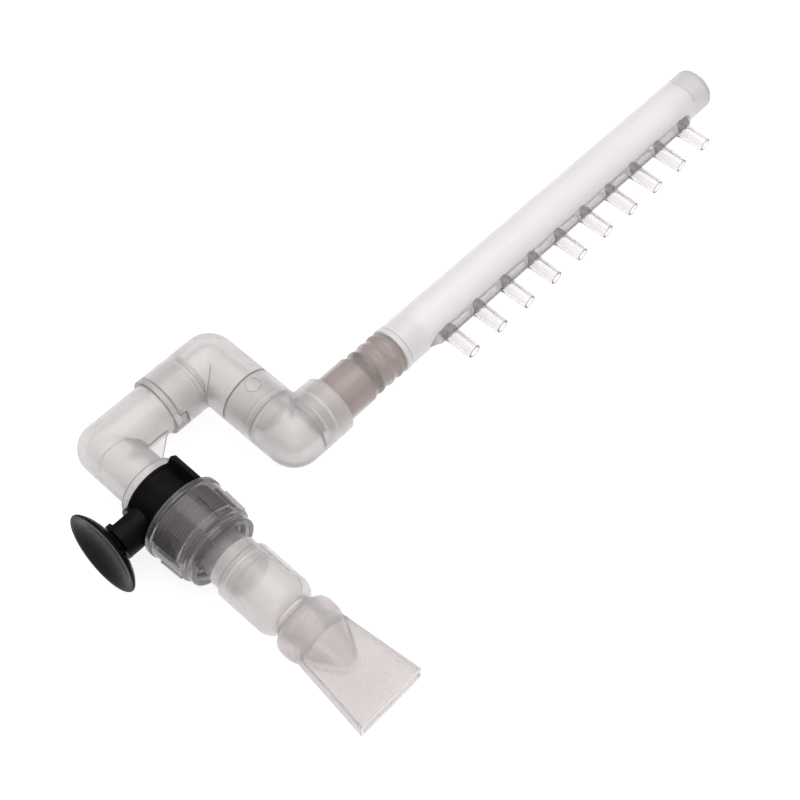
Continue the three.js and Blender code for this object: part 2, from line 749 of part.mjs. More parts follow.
const assembly = new THREE.Group();
assembly.add(
  piece("suction_cup", suctionCup(), "rubber"),
  branch(
    ...CORNER_1,
    true,
    piece("pipe_bracket", pipeBracket(), "black"),
    piece("union_nut", unionNut(), "smoke"),
    piece("union_washer", unionWasher(), "seal"),
    piece("tailpiece", tailpiece(), "frosted"),
    piece(
      "tailpiece_o_ring",
      sealRing(TAIL_GROOVE_R + SEAL_GAP, TAIL_R + FIT - SEAL_GAP, TAIL_SEAL),
      "seal",
    ),
    piece("adaptor_body", adaptorBody(), "frosted"),
    piece(
      "neck_o_ring",
      sealRing(NECK_GROOVE_R + SMALL_SEAL_GAP, ADAPTOR_NECK_R + FIT - SMALL_SEAL_GAP, NECK_SEAL),
      "seal",
    ),
    piece("duckbill_nozzle", duckbill(), "frosted"),
  ),
  branch(
    ...CORNER_1,
    false,
    piece("flanged_elbow", flangedElbow(), "frosted"),
    piece("swivel_o_ring", grooveSeal(SPIGOT_R, RISER_SEAL), "seal"),
  ),
  branch(...CORNER_2, false, piece("swivel_elbow", swivelElbow(), "frosted")),
  branch(
    ...CORNER_2,
    true,
    piece("cross_o_ring", grooveSeal(SPIGOT_R, CROSS_SEAL), "seal"),
  ),
  branch(
    ...CORNER_3,
    false,
    piece("bar_elbow", barElbow(), "frosted"),
    piece("bar_connector", barConnector(), "frosted"),
    piece("connector_o_ring", grooveSeal(SPIGOT_R, CONNECTOR_SEAL), "seal"),
    piece("bar_o_ring", smallSeal(BAR_SEAL), "seal"),
    piece("spray_bar", sprayBar(), "bar_white"),
    piece("end_cap_o_ring", smallSeal(CAP_SEAL), "seal"),
    piece("end_cap", endCap(), "bar_white"),
  ),
);

export default assembly;
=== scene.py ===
# Looks of the aquarium filter outlet set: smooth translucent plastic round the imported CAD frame.
# Lengths in this script are in millimetres and become metres where a mesh is made.
import json
import math

import bmesh
import bpy
from mathutils import Matrix, Vector


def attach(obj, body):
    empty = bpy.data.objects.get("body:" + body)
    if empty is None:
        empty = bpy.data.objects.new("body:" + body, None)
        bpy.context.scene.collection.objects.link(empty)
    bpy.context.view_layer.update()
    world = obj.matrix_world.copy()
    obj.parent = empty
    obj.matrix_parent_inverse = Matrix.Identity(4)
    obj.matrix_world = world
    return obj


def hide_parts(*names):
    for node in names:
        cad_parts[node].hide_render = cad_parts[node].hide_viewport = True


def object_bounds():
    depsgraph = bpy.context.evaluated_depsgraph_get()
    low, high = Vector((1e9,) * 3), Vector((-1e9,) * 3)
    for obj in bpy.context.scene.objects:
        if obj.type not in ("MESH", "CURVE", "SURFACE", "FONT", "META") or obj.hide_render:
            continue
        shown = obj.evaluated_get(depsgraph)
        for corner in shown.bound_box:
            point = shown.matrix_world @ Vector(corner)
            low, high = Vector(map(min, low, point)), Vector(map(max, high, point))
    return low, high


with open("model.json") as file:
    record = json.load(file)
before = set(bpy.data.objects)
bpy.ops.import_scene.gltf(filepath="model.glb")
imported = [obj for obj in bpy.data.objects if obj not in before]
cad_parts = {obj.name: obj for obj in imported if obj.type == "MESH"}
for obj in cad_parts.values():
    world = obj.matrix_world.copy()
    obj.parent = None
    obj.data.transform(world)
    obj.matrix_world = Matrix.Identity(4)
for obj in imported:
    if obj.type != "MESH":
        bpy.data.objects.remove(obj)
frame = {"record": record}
cad_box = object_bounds()

MM = 0.001
AROUND = 96  # columns round a pipe
UP = Vector((0, 0, 1))
X = Vector((1, 0, 0))
Y = Vector((0, 1, 0))


# ---- Places, from the frame --------------------------------------------------------------

joint_at = {j["name"]: j.get("pos_m") for j in frame["record"]["behaviour"]["joints"]}
OUTLET_Y = joint_at["pipe_turn"][1] / MM
RISER_X = joint_at["elbow_swivel"][0] / MM
CROSS_Y = joint_at["cross_turn"][1] / MM
BAR_X = joint_at["bar_turn"][0] / MM


class Branch:
    """A straight run of pipe: a point is a radius, a station along it and an angle round it."""

    def __init__(self, x, y, along, side):
        self.corner = Vector((x, y, 0))
        self.along = along
        self.side = side

    def point(self, radius, station, degrees):
        angle = math.radians(degrees)
        across = self.side * math.cos(angle) + UP * math.sin(angle)
        return (self.corner + self.along * station + across * radius) * MM


CUP = Branch(0, 0, Y, X)
OUTLET = Branch(RISER_X, OUTLET_Y, X, Y)
RISER = Branch(RISER_X, OUTLET_Y, Y, X)
CROSS = Branch(RISER_X, CROSS_Y, X, Y)
BAR = Branch(BAR_X, CROSS_Y, Y, X)

# Shared sizes of the pipes
PIPE_R = 10.9
SOCKET_R = 12.5
SPIGOT_R = 10.2
SOCKET_BORE_R = 10.5
BORE_R = 7.6
GAP = 0.3
GROOVE_INSET = 1.3
GROOVE_WIDTH = 2.0
GROOVE_DEPTH = 1.5
RISER_LENGTH = CROSS_Y - OUTLET_Y
CROSS_LENGTH = BAR_X - RISER_X


# ---- Meshes ------------------------------------------------------------------------------


def finish_mesh(name, bm, sharp=32):
    """Cleans the mesh, marks its sharp edges and makes the object."""
    bmesh.ops.remove_doubles(bm, verts=bm.verts, dist=1e-6)
    bmesh.ops.dissolve_degenerate(bm, edges=bm.edges, dist=1e-7)
    bmesh.ops.recalc_face_normals(bm, faces=bm.faces)
    if bm.calc_volume(signed=True) < 0:
        bmesh.ops.reverse_faces(bm, faces=bm.faces)
    shade(bm, sharp)
    mesh = bpy.data.meshes.new(name)
    bm.to_mesh(mesh)
    bm.free()
    piece = bpy.data.objects.new(name, mesh)
    bpy.context.scene.collection.objects.link(piece)
    return piece


def shade(bm, sharp):
    for face in bm.faces:
        face.smooth = True
    for edge in bm.edges:
        bent = len(edge.link_faces) == 2 and edge.calc_face_angle(0) > math.radians(sharp)
        edge.smooth = not bent


def grid(name, columns, loop=True, sharp=32):
    """A surface through columns of points that closes round them, and along them too if loop."""
    bm = bmesh.new()
    rows = [[bm.verts.new(p) for p in column] for column in columns]
    height = len(columns[0])
    steps = height if loop else height - 1
    for i, here in enumerate(rows):
        there = rows[(i + 1) % len(rows)]
        for j in range(steps):
            k = (j + 1) % height
            bm.faces.new((here[j], here[k], there[k], there[j]))
    return finish_mesh(name, bm, sharp)


def soften(outline, radius=0.3, steps=3, closed=False):
    """The outline with its corners rounded. A point is (radius, station), and a tag if any."""
    count = len(outline)
    result = []
    for i, here in enumerate(outline):
        if not closed and i in (0, count - 1):
            result.append(here)
            continue
        corner = Vector(here[:2])
        back = Vector(outline[i - 1][:2]) - corner
        ahead = Vector(outline[(i + 1) % count][:2]) - corner
        if back.angle(-ahead, 0) < math.radians(12):
            result.append(here)
            continue
        reach = min(radius, back.length * 0.48, ahead.length * 0.48)
        start = corner + back.normalized() * reach
        end = corner + ahead.normalized() * reach
        for k in range(steps + 1):
            share = k / steps
            bend = start.lerp(corner, share).lerp(corner.lerp(end, share), share)
            result.append((bend.x, bend.y, *here[2:]))
    return result


def turned(name, branch, outline, radius=0.3, around=AROUND, steps=3):
    """A ring from a closed outline, with softened edges."""
    points = soften(outline, radius, steps, closed=True)
    columns = [
        [branch.point(r, t, 360 * i / around) for r, t, *_ in points] for i in range(around)
    ]
    return grid(name, columns)


def rod(name, branch, outline, radius=0.3, around=AROUND, steps=3):
    """A solid of revolution that closes on its axis at both ends."""
    points = [(0, outline[0][1]), *outline, (0, outline[-1][1])]
    points = soften(points, radius, steps)
    columns = [
        [branch.point(r, t, 360 * i / around) for r, t, *_ in points] for i in range(around)
    ]
    return grid(name, columns, loop=False)


def combine(piece, tool, operation, sharp=32):
    """Joins the tool to the piece or cuts it away, and deletes the tool."""
    step = piece.modifiers.new("combine", "BOOLEAN")
    step.object = tool
    step.operation = operation
    step.solver = "EXACT"
    bpy.context.view_layer.update()
    view = piece.evaluated_get(bpy.context.evaluated_depsgraph_get())
    mesh = bpy.data.meshes.new_from_object(view)
    piece.modifiers.clear()
    piece.data = mesh
    bpy.data.objects.remove(tool)
    bm = bmesh.new()
    bm.from_mesh(mesh)
    bmesh.ops.remove_doubles(bm, verts=bm.verts, dist=2e-6)
    bmesh.ops.dissolve_degenerate(bm, edges=bm.edges, dist=1e-6)
    shade(bm, sharp)
    bm.to_mesh(mesh)
    bm.free()
    return piece


def join(piece, tool):
    return combine(piece, tool, "UNION")


def cut(piece, tool):
    return combine(piece, tool, "DIFFERENCE")


def prism(name, corners, low, high):
    """A solid between two heights of an outline of (x, y) corners."""
    bm = bmesh.new()
    rings = [[bm.verts.new(Vector((x, y, z)) * MM) for x, y in corners] for z in (low, high)]
    bm.faces.new(rings[0])
    bm.faces.new(rings[1])
    for i in range(len(corners)):
        j = (i + 1) % len(corners)
        bm.faces.new((rings[0][i], rings[0][j], rings[1][j], rings[1][i]))
    return finish_mesh(name, bm)


def soften_edges(piece, width, segments=3, limit=35):
    """Rounds the edges of a piece that was cut or joined."""
    step = piece.modifiers.new("edges", "BEVEL")
    step.width = width * MM
    step.segments = segments
    step.limit_method = "ANGLE"
    step.angle_limit = math.radians(limit)
    step.use_clamp_overlap = True
    step.harden_normals = False


def weigh_normals(piece):
    step = piece.modifiers.new("normals", "WEIGHTED_NORMAL")
    step.keep_sharp = True
    step.weight = 60


def paint(piece, material, branch, low, high, radial=False, within=99.0):
    """Gives the material to faces between two stations: those across the pipe, or those that
    face out of or into it within a radius."""
    mesh = piece.data
    mesh.materials.append(MATERIALS[material])
    slot = len(mesh.materials) - 1
    corner = branch.corner * MM
    for face in mesh.polygons:
        offset = face.center - corner
        station = offset.dot(branch.along)
        outward = offset - branch.along * station
        faces_out = abs(face.normal.dot(outward.normalized())) > 0.5
        inside = low * MM < station < high * MM and outward.length < within * MM
        if inside and faces_out == radial:
            face.material_index = slot


def paint_rail(piece):
    """Gives the rail its grey material and paints shade over the upper side of each nozzle's root.
    """
    mesh = piece.data
    mesh.materials.append(MATERIALS["rail_plastic"])
    mesh.materials.append(MATERIALS["root_shade"])
    for face in mesh.polygons:
        side = face.center.x / MM - BAR_X
        station = face.center.y / MM - CROSS_Y - NOZZLE_FIRST
        nearest = min(max(round(station / NOZZLE_PITCH), 0), NOZZLE_COUNT - 1)
        offset = station - NOZZLE_PITCH * nearest
        height = face.center.z / MM
        near_root = abs(offset) < ROOT_REACH and height > ROOT_LOW and side < RAIL_TOP + ROOT_RISE
        if near_root and math.hypot(offset, height) > NOZZLE_BORE_R + ROOT_WALL:
            face.material_index = 2
        elif side < RAIL_TOP - RAIL_TRIM:
            face.material_index = 1


LINE_SINK = 0.12  # how far a line's underside lies in the pipe
LINE_TOP = 0.6  # width of a line's top, as a share of its foot


def line_on(name, branch, path, width, rise=0.06, closed=False):
    """A fine raised line along a path of (radius, station, degrees) on a pipe's surface."""
    points = [branch.point(*p) for p in path]
    columns = []
    for i, here in enumerate(points):
        before = points[i - 1] if i or closed else here
        after = points[(i + 1) % len(points)] if i + 1 < len(points) or closed else here
        offset = here - branch.corner * MM
        outward = (offset - branch.along * offset.dot(branch.along)).normalized()
        across = (after - before).cross(outward).normalized() * width / 2 * MM
        top, bottom = outward * rise * MM, -outward * LINE_SINK * MM
        foot = [here - across + bottom, here + across + bottom]
        across *= LINE_TOP
        columns.append([*foot, here + across + top, here - across + top])
    bm = bmesh.new()
    rings = [[bm.verts.new(p) for p in column] for column in columns]
    for i in range(len(rings) if closed else len(rings) - 1):
        here, there = rings[i], rings[(i + 1) % len(rings)]
        for j in range(4):
            k = (j + 1) % 4
            bm.faces.new((here[j], here[k], there[k], there[j]))
    if not closed:
        bm.faces.new(rings[0])
        bm.faces.new(rings[-1])
    return finish_mesh(name, bm)


# ---- Elbows ------------------------------------------------------------------------------

BEND_STEPS = 14


def sector_columns(sector):
    """Angles round a pipe, with a doubled column at each edge of the sector."""
    even = [360 * i / AROUND - 180 for i in range(AROUND)]
    if sector is None:
        return [(a, 0) for a in even]
    low, high = sector
    inside = [(a, 1) for a in even if low < a < high]
    outside = [(a, 0) for a in even if a < low or a > high]
    edges = [(low, 0), (low, 1), (high, 1), (high, 0)]
    before = [c for c in outside if c[0] < low]
    after = [c for c in outside if c[0] > high]
    return before + edges[:2] + inside + edges[2:] + after


def elbow(name, corner, first, second, outer_r, first_arm, second_arm, sector=None, shift=0.0):
    """A bent pipe. Each arm's outline runs out along its outside, round its end and back inside.
    Tagged points of the first arm move by shift within the sector of angles."""
    corner = Vector((*corner, 0))
    first_arm = soften(first_arm, 0.35)
    second_arm = soften(second_arm, 0.35)
    columns = []
    for degrees, inside in sector_columns(sector):
        angle = math.radians(degrees)

        def place(along_first, along_second, radius):
            flat = first * along_first + second * along_second
            return (corner + flat + UP * radius * math.sin(angle)) * MM

        def arm(outline, is_first):
            points = []
            for r, t, *tag in outline:
                if tag and tag[0] and inside:
                    t += shift
                side = r * math.cos(angle)
                points.append(place(t, side, r) if is_first else place(side, t, r))
            return points

        def corner_arc(radius, fillet):
            inward = radius * math.cos(angle)
            centre = max(0.0, inward + fillet)
            reach = centre - inward
            arc = []
            for k in range(BEND_STEPS + 1):
                turn = math.pi / 2 * k / BEND_STEPS
                along_first = centre - reach * math.sin(turn)
                along_second = centre - reach * math.cos(turn)
                arc.append(place(along_first, along_second, radius))
            return arc

        outside = corner_arc(outer_r, OUTER_FILLET)
        bore = corner_arc(BORE_R, BORE_FILLET)
        column = outside + arm(second_arm, False)[1:-1]
        column += bore[::-1] + arm(first_arm, True)[1:-1][::-1]
        columns.append(column)
    return grid(name, columns)


OUTER_FILLET = 0.9
BORE_FILLET = 0.6

SEAM = 27.5
SWIVEL_SPIGOT_END = 42.8
STOP = (-70.0, 20.0)
STOP_TRAVEL = 90.0
STOP_LENGTH = 3.0
RECESS_SLACK = 1.5
THREAD_START = 42.0
SEAT = 56.0
THREAD_ROOT_R = 14.1
THREAD_CREST_R = 14.75
FLANGE_START = 23.4
FLANGE_END = 26.9
FLANGE_R = 13.0
THREAD_PITCH = 1.5
THREAD_TURNS = 8
CROSS_SEAM = 21.0
CROSS_SPIGOT_END = 34.6
BAR_SOCKET_END = 20.0
BAR_SOCKET_FLOOR = 8.2


def flanged_elbow():
    crests = []
    for i in range(THREAD_TURNS):
        start = THREAD_START + 1 + i * THREAD_PITCH
        crests.append((THREAD_ROOT_R, start))
        crests.append((THREAD_CREST_R, start + THREAD_PITCH / 2))
    outlet = [
        (PIPE_R, 12),
        (PIPE_R, FLANGE_START),
        (FLANGE_R, FLANGE_START),
        (FLANGE_R, FLANGE_END),
        (PIPE_R, FLANGE_END),
        (PIPE_R, THREAD_START),
        (THREAD_ROOT_R, THREAD_START),
        *crests,
        (THREAD_ROOT_R, THREAD_START + 1 + THREAD_TURNS * THREAD_PITCH),
        (THREAD_ROOT_R, SEAT),
        (BORE_R, SEAT),
        (BORE_R, 9),
    ]
    groove_end = SWIVEL_SPIGOT_END - GROOVE_INSET
    riser = [
        (PIPE_R, 12),
        (PIPE_R, 25),
        (SOCKET_R, 25),
        (SOCKET_R, SEAM, 1),
        (SPIGOT_R, SEAM, 1),
        (SPIGOT_R, groove_end - GROOVE_WIDTH),
        (SPIGOT_R - GROOVE_DEPTH, groove_end - GROOVE_WIDTH),
        (SPIGOT_R - GROOVE_DEPTH, groove_end),
        (SPIGOT_R, groove_end),
        (SPIGOT_R, SWIVEL_SPIGOT_END),
        (BORE_R, SWIVEL_SPIGOT_END),
        (BORE_R, 9),
    ]
    piece = elbow(
        "flanged_elbow_shell",
        (RISER_X, OUTLET_Y),
        Y,
        X,
        PIPE_R,
        riser,
        outlet,
        STOP,
        STOP_LENGTH,
    )
    inside = PIPE_R - 1
    corners = [(inside, inside), (19.4, inside), (19.4, PIPE_R), (PIPE_R, 21.2), (inside, 21.2)]
    corners = [(RISER_X + x, OUTLET_Y + y) for x, y in corners]
    return join(piece, prism("gusset", corners, -0.65, 0.65))


def swivel_elbow():
    rim = RISER_LENGTH - SEAM - GAP
    floor = RISER_LENGTH - SWIVEL_SPIGOT_END - 0.7
    riser = [
        (SOCKET_R, 14),
        (SOCKET_R, rim, 1),
        (SOCKET_BORE_R, rim, 1),
        (SOCKET_BORE_R, floor),
        (BORE_R, floor),
        (BORE_R, 9),
    ]
    groove_end = CROSS_SPIGOT_END - GROOVE_INSET
    cross = [
        (SOCKET_R, 14),
        (SOCKET_R, CROSS_SEAM),
        (SPIGOT_R, CROSS_SEAM),
        (SPIGOT_R, groove_end - GROOVE_WIDTH),
        (SPIGOT_R - GROOVE_DEPTH, groove_end - GROOVE_WIDTH),
        (SPIGOT_R - GROOVE_DEPTH, groove_end),
        (SPIGOT_R, groove_end),
        (SPIGOT_R, CROSS_SPIGOT_END),
        (BORE_R, CROSS_SPIGOT_END),
        (BORE_R, 9),
    ]
    recess = (STOP[0] - STOP_TRAVEL - RECESS_SLACK, STOP[1] + RECESS_SLACK)
    corner = (RISER_X, CROSS_Y)
    return elbow(
        "swivel_elbow_shell",
        corner,
        -Y,
        X,
        SOCKET_R,
        riser,
        cross,
        recess,
        -STOP_LENGTH - GAP,
    )


def bar_elbow():
    rim = CROSS_LENGTH - CROSS_SEAM - GAP
    floor = CROSS_LENGTH - CROSS_SPIGOT_END - 0.7
    cross = [
        (SOCKET_R, 13.5),
        (SOCKET_R, rim),
        (SOCKET_BORE_R, rim),
        (SOCKET_BORE_R, floor),
        (BORE_R, floor),
        (BORE_R, 9),
    ]
    bar = [
        (SOCKET_R, 13.5),
        (SOCKET_R, BAR_SOCKET_END - 0.7),
        (SOCKET_R - 0.7, BAR_SOCKET_END),
        (SOCKET_BORE_R, BAR_SOCKET_END),
        (SOCKET_BORE_R, BAR_SOCKET_FLOOR + 0.6),
        (BORE_R, BAR_SOCKET_FLOOR + 0.6),
        (BORE_R, 8.7),
    ]
    corner = (BAR_X, CROSS_Y)
    return elbow("bar_elbow_shell", corner, -X, Y, SOCKET_R, cross, bar)


# ---- Suction cup and bracket -------------------------------------------------------------

KNOB_R = 5.4
CUP_LEAN = -5.0  # degrees; the soft neck bends and the knob stays straight in its socket
NECK_LOW = 6.0
NECK_HIGH = 9.2


def suction_cup():
    face = [(4, 3.15), (8, 2.5), (11.6, 1.4), (14.6, 0.25), (15.8, 0.0), (17.0, 0.0)]
    back = [(17.45, 0.3), (17.35, 0.85), (15.4, 2.5), (12.0, 4.1), (9.0, 5.2), (6.4, 6.2)]
    stem = [(3.8, 7.2), (3.8, 9.5), (KNOB_R, 9.7), (KNOB_R, 13.2), (3.2, 16.1)]
    cup = rod("suction_cup_body", CUP, [(0.5, 3.2), *face, *back, *stem], 0.5, 128, 4)
    bend = Vector((0, NECK_HIGH * MM, 0))
    for vertex in cup.data.vertices:
        share = (NECK_HIGH - vertex.co.y / MM) / (NECK_HIGH - NECK_LOW)
        share = min(max(share, 0), 1)
        lean = Matrix.Rotation(math.radians(CUP_LEAN * share), 3, "X")
        vertex.co = bend + lean @ (vertex.co - bend)
    return cup


BAND_START = 27.3
BAND_END = 40.4
BAND_R = 13.6
BEAD_R = 14.1
EAR = (43.0, 56.0)
EAR_R = 17.0
HOOK_FROM = 22.0
HOOK_R = 15.2
MOUTH_TILT = 18.0  # degrees, the socket's open side from -X towards +Z
# The socket for the cup's knob
STEM_R = 7.6
STEM_END = 20.5
CAVITY = (9.2, 16.6)
CAVITY_R = 5.7
HOLE = (5.0, 12.0)
HOLE_R = 4.6
MOUTH_HALF = 3.8
MOUTH_REACH = 12.0


def pipe_bracket():
    inner = PIPE_R + GAP
    outline = soften(
        [
            (inner, BAND_START),
            (BEAD_R, BAND_START, 1),
            (BEAD_R, BAND_START + 1.3, 1),
            (BAND_R, BAND_START + 1.5, 1),
            (BAND_R, BAND_END - 1.5, 1),
            (BEAD_R, BAND_END - 1.3, 1),
            (BEAD_R, BAND_END, 1),
            (inner, BAND_END),
        ],
        0.25,
        closed=True,
    )
    columns = []
    for degrees, inside in sector_columns((HOOK_FROM, EAR[1])):
        raised = EAR_R if degrees > EAR[0] else HOOK_R
        column = []
        for r, t, *tag in outline:
            radius = raised if inside and tag else r
            column.append(OUTLET.point(radius, t, degrees))
        columns.append(column)
    band = grid("pipe_bracket_clip", columns)
    glass_side = 7.0
    pipe_side = OUTLET_Y - inner - 0.6
    outside = [(STEM_R, glass_side), (STEM_R, pipe_side), (STEM_R, STEM_END)]
    neck = rod("neck", CUP, outside, 0.4, 64)
    for name, radius, (low, high), softness in (
        ("cavity", CAVITY_R, CAVITY, 0.2),
        ("hole", HOLE_R, HOLE, 0.1),
    ):
        cut(neck, rod(name, CUP, [(radius, low), (radius, high)], softness, 64))
    for radius, (low, high) in ((CAVITY_R, CAVITY), (MOUTH_HALF, HOLE)):
        corners = [(-MOUTH_REACH, low), (0, low), (0, high), (-MOUTH_REACH, high)]
        mouth = prism("mouth", corners, -radius, radius)
        mouth.data.transform(Matrix.Rotation(math.radians(MOUTH_TILT), 4, "Y"))
        cut(neck, mouth)
    relief = [(FLANGE_R + GAP, BAND_START - 4), (FLANGE_R + GAP, BAND_START)]
    cut(neck, rod("relief", OUTLET, relief, 0.01))
    cut(neck, rod("pipe", OUTLET, [(inner, BAND_START - 4), (inner, BAND_END + 4)], 0.01))
    join(band, neck)
    return band


# ---- Union, tailpiece and adaptor --------------------------------------------------------

NUT_START = 41.6
NUT_RIM_END = 44.2
NUT_SHOULDER = 60.0
NUT_END = 64.2
NUT_RIM_R = 17.9
NUT_BACK_R = 17.2
NUT_FRONT_R = 16.4
NUT_COLLAR_R = 15.2
GRIP_COUNT = 12
GRIP_START = 48.5
GRIP_END = 59.0
GRIP_RISE = 0.65
GRIP_HALF_WIDTH = 1.6  # degrees


def nut_outline():
    """The nut's section. Tagged points rise where a grip rib runs."""
    slope = (NUT_FRONT_R - NUT_BACK_R) / (NUT_SHOULDER - NUT_RIM_END)
    ribbed = []
    for station, tag in (
        (GRIP_START - 0.3, 0),
        (GRIP_START, 1),
        (GRIP_END - 0.4, 1),
        (GRIP_END, 0),
    ):
        ribbed.append((NUT_BACK_R + slope * (station - NUT_RIM_END), station, tag))
    outside = soften(
        [
            (15.2, NUT_START),
            (NUT_RIM_R, NUT_START),
            (NUT_RIM_R, NUT_RIM_END),
            (NUT_BACK_R, NUT_RIM_END + 0.3),
            (NUT_BACK_R - 0.1, GRIP_START - 1),
        ],
        0.5,
    )
    front = soften(
        [
            (NUT_FRONT_R + 0.05, GRIP_END + 0.3),
            (NUT_FRONT_R, NUT_SHOULDER),
            (NUT_COLLAR_R, NUT_SHOULDER + 0.5),
            (NUT_COLLAR_R, NUT_END),
            (13.0, NUT_END),
            (13.0, 61.9),
            (10.25, 61.9),
            (10.25, 60.6),
            (13.7, 60.6),
            (13.7, 56.4),
            (15.15, 56.2),
            (15.15, 44.0),
        ],
        0.45,
        4,
    )
    return outside + ribbed + front


def union_nut():
    outline = nut_outline()
    angles = []
    pitch = 360 / GRIP_COUNT
    for i in range(GRIP_COUNT):
        centre = pitch * (i + 0.5)
        low, high = centre - GRIP_HALF_WIDTH, centre + GRIP_HALF_WIDTH
        angles += [(low, 0), (low + 0.35, 1), (high - 0.35, 1), (high, 0)]
        steps = 8
        for k in range(1, steps):
            angles.append((high + (pitch - 2 * GRIP_HALF_WIDTH) * k / steps, 0))
    columns = []
    for degrees, inside in angles:
        column = []
        for r, t, *tag in outline:
            rise = GRIP_RISE if inside and tag and tag[0] else 0
            column.append(OUTLET.point(r + rise, t, degrees))
        columns.append(column)
    return grid("union_nut_body", columns)


def union_washer():
    outline = [(8, 56.3), (13.3, 56.3), (13.3, 58), (8, 58)]
    return turned("union_washer_ring", OUTLET, outline, 0.25)


TAIL_R = 9.6
TAIL_END = 78.3
TAIL_SEAL = TAIL_END - 3


def tailpiece():
    outline = [
        (BORE_R, 58.3),
        (13.3, 58.3),
        (13.3, 60.3),
        (TAIL_R, 60.3),
        (TAIL_R, TAIL_SEAL - 1),
        (TAIL_R - 1.1, TAIL_SEAL - 1),
        (TAIL_R - 1.1, TAIL_SEAL + 1),
        (TAIL_R, TAIL_SEAL + 1),
        (TAIL_R, TAIL_END),
        (BORE_R, TAIL_END),
    ]
    return turned("tailpiece_tube", OUTLET, outline, 0.3)


ADAPTOR_R = 12.25
NECK_R = 8.7
NECK_SEAL = 106.0


def adaptor_body():
    outline = [
        (9.9, 68.4),
        (10.75, 68.4),
        (10.75, 72.9),
        (11.6, 73.3),
        (12.15, 74.2),
        (ADAPTOR_R, 75.4),
        (ADAPTOR_R, 94.3),
        (11.95, 96.2),
        (11.1, 97.9),
        (9.8, 99.2),
        (8.9, 99.8),
        (NECK_R, 100.2),
        (NECK_R, 101),
        (8.25, 101.1),
        (8.25, 101.6),
        (NECK_R, 101.7),
        (NECK_R, NECK_SEAL - 1),
        (7.95, NECK_SEAL - 1),
        (7.95, NECK_SEAL + 1),
        (NECK_R, NECK_SEAL + 1),
        (NECK_R, 110),
        (7.2, 110),
        (7.2, 97.5),
        (10.25, 93.5),
        (10.25, 79.9),
        (9.9, 79.5),
    ]
    return turned("adaptor_shell", OUTLET, outline, 0.35)


# ---- Duckbill ----------------------------------------------------------------------------

MOUTH = 147.5
FAN_START = 111.0
FAN_HALF_HEIGHT = 3.9
BELL_START = 113.8
BELL_TIP = 129.5
BELL_START_R = 11.5
BELL_TIP_R = 3.3
BELL_CURVE = 0.78
BELL_SINK = 0.5
FAN_WALL = 1.25
FAN_FLOOR = 115.5
FAN_STEPS = 34
SIDE_STEPS = 7
TOP_STEPS = 17
BLEND = 0.55


def fan_half(station):
    share = (station - FAN_START) / (MOUTH - FAN_START)
    return 11 + (15.1 - 11) * max(share, 0)


def bell_radius(station, tip):
    """The round part sinks into the flat fan and ends in a rounded tongue."""
    share = min(max((station - BELL_START) / (tip - BELL_START), 0), 1)
    beyond = max(station - tip, 0) * BELL_SINK
    return BELL_TIP_R + (BELL_START_R - BELL_TIP_R) * (1 - share) ** BELL_CURVE - beyond


def flat_section(half, height, rounding=0.9):
    """Polar points round a rectangle with rounded corners, a fixed number in each quarter."""
    quarter = []
    for k in range(SIDE_STEPS):
        quarter.append((half, (height - rounding) * k / SIDE_STEPS))
    for k in range(6):
        turn = math.pi / 2 * k / 6
        x = half - rounding + rounding * math.cos(turn)
        quarter.append((x, height - rounding + rounding * math.sin(turn)))
    for k in range(TOP_STEPS):
        quarter.append(((half - rounding) * (1 - k / TOP_STEPS), height))
    mirrored = [(-x, y) for x, y in quarter[1:]][::-1]
    upper = [*quarter, (0, height), *mirrored, (-half, 0)]
    lower = [(x, -y) for x, y in upper[1:-1]][::-1]
    return upper + lower


def smooth_max(a, b, width):
    return (a + b + math.sqrt((a - b) ** 2 + width**2)) / 2


def duck_ring(station, round_r, half, height, rounding):
    ring = []
    for x, y in flat_section(half, height, rounding):
        flat_r = math.hypot(x, y)
        radius = smooth_max(flat_r, round_r, BLEND) if round_r > 0 else flat_r
        ring.append(OUTLET.point(radius, station, math.degrees(math.atan2(y, x))))
    return ring


def duckbill():
    rings = []
    collar = [
        (102.3, 9.3),
        (102.35, 9.9),
        (102.7, 10.9),
        (103.4, 11.7),
        (104.4, 12.3),
        (105.6, 12.65),
        (107.2, 12.8),
        (109.4, 12.75),
        (110.8, 12.5),
        (112.0, 12.1),
        (113.0, 11.75),
    ]
    for station, radius in collar:
        rings.append(duck_ring(station, radius, 4, 3, 0.9))
    for k in range(FAN_STEPS + 1):
        station = BELL_START + (MOUTH - 0.3 - BELL_START) * k / FAN_STEPS
        emerge = min(1, (station - 113) / 1.2)
        half = fan_half(station) * emerge
        rings.append(
            duck_ring(station, bell_radius(station, BELL_TIP), half, FAN_HALF_HEIGHT, 0.9)
        )
    for station, inset in ((MOUTH - 0.08, 0.06), (MOUTH, 0.25)):
        rings.append(
            duck_ring(station, 0, fan_half(station) - inset, FAN_HALF_HEIGHT - inset, 0.8)
        )
    for station, inset in ((MOUTH, 1.1), (MOUTH - 0.15, 1.22), (MOUTH - 0.5, 1.25)):
        rings.append(
            duck_ring(station, 0, fan_half(station) - inset, FAN_HALF_HEIGHT - inset, 0.4)
        )
    for k in range(1, FAN_STEPS):
        station = MOUTH - 0.5 - (MOUTH - 0.5 - FAN_FLOOR) * k / (FAN_STEPS - 1)
        inner_bell = bell_radius(station, BELL_TIP - 2) - 1.4
        half = fan_half(station) - FAN_WALL
        rings.append(duck_ring(station, inner_bell, half, FAN_HALF_HEIGHT - FAN_WALL, 0.4))
    socket = [(114.0, 8.6), (112.0, 8.4), (110.4, 8.4), (110.3, 8.5), (110.3, 8.95)]
    for station, radius in [*socket, (110.1, 9.0), (102.8, 9.0), (102.4, 9.1)]:
        rings.append(duck_ring(station, radius, 3, 2, 0.4))
    columns = list(zip(*rings))
    return grid("duckbill_fan", columns)


# ---- Bar branch --------------------------------------------------------------------------

